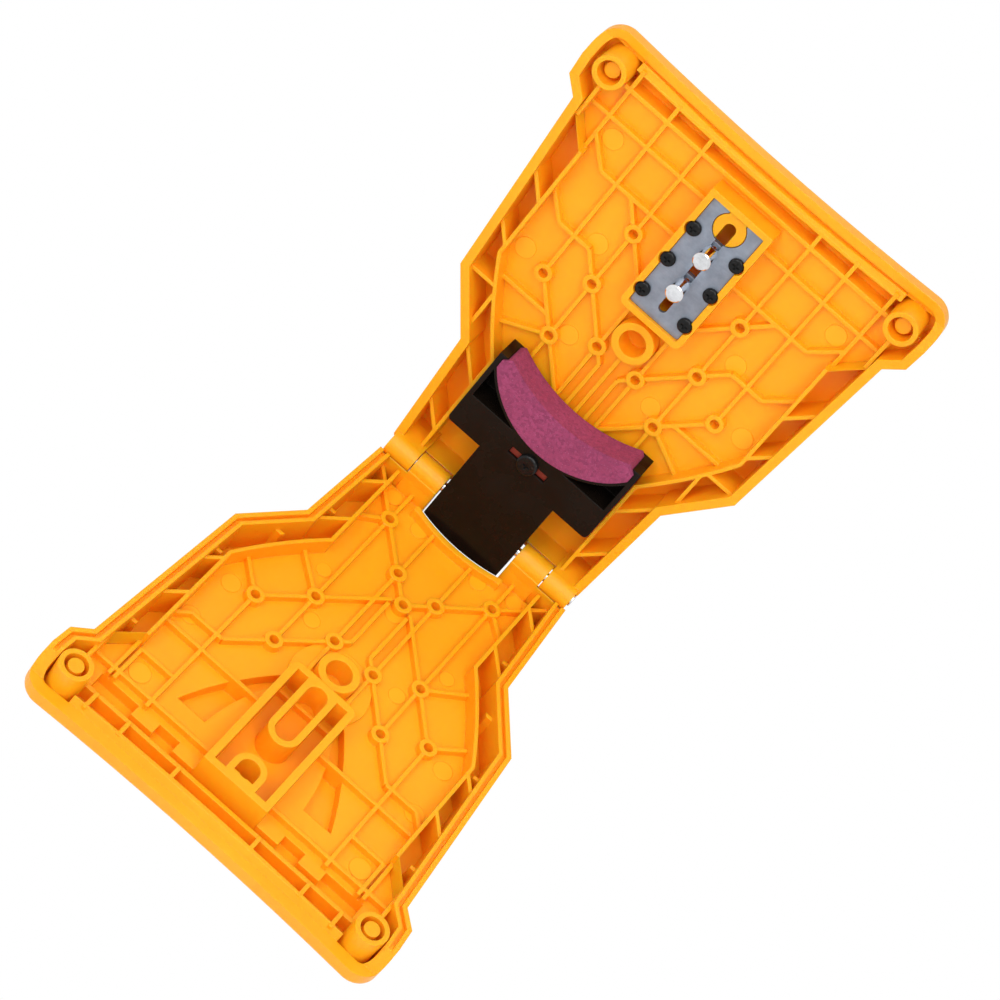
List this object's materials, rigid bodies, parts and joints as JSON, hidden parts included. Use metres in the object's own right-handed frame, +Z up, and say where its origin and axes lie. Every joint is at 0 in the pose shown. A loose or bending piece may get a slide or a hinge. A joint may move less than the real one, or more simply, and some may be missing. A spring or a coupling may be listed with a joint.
{
  "type": "bar-mounted chainsaw sharpener",
  "caption": "Hinged two-cover sharpener, open: ribbed trays narrowing to a waist hinge, bar pins on a plate, and a sprung sled with a curved grinding stone.",
  "frame": {"origin": "centre of the bounding box's bottom face, on the surface that the clamp cover lies on", "axes": "+Z up; +X along the hinge pin, towards its head; -Y towards the mouth of the lying clamp cover, which is the front"},
  "size_m": [0.1632, 0.257, 0.1998],
  "materials": {
    "yellow_plastic": "smooth moulded, light gloss",
    "black_plastic": "smooth moulded, light gloss",
    "pink_stone": "bonded grit",
    "zinc_steel": "zinc plated",
    "bright_steel": "polished",
    "black_steel": "black oxide",
    "red_plastic": "smooth moulded",
    "spring_steel": "drawn wire"
  },
  "bodies": {
    "clamp": {"clamp_cover": "yellow_plastic"},
    "pin_side": {"pin_cover": "yellow_plastic", "pin_plate": "zinc_steel", "hinge_pin": "bright_steel", "return_spring_left": "spring_steel", "return_spring_right": "spring_steel", "plate_screw_1": "black_steel", "plate_screw_2": "black_steel", "plate_screw_3": "black_steel", "plate_screw_4": "black_steel", "plate_screw_5": "black_steel", "plate_screw_6": "black_steel"},
    "sled": {"stone_sled": "black_plastic", "grinding_stone": "pink_stone", "stone_keeper": "red_plastic", "sled_screw": "black_steel"},
    "pin_front": {"bar_pin_front": "bright_steel", "bar_pin_nut_front": "zinc_steel"},
    "pin_rear": {"bar_pin_rear": "bright_steel", "bar_pin_nut_rear": "zinc_steel"}
  },
  "joints": [
    {"name": "cover_hinge", "type": "hinge", "parent": "clamp", "child": "pin_side", "pos_m": [0, 0.06131, 0.0194], "axis": [1, 0, 0], "range_deg": [-74, 105]},
    {"name": "sled_slide", "type": "slide", "parent": "pin_side", "child": "sled", "axis": [0, 0.2588, 0.9659], "range_m": [0, 0.006], "stiffness_N_per_m": 400, "springref_m": -0.004, "deforming": ["return_spring_left", "return_spring_right"]},
    {"name": "front_pin_slide", "type": "slide", "parent": "pin_side", "child": "pin_front", "axis": [0, 0.2588, 0.9659], "range_m": [-0.0015, 0.011]},
    {"name": "rear_pin_slide", "type": "slide", "parent": "pin_side", "child": "pin_rear", "axis": [0, 0.2588, 0.9659], "range_m": [-0.013, 0.005]}
  ]
}
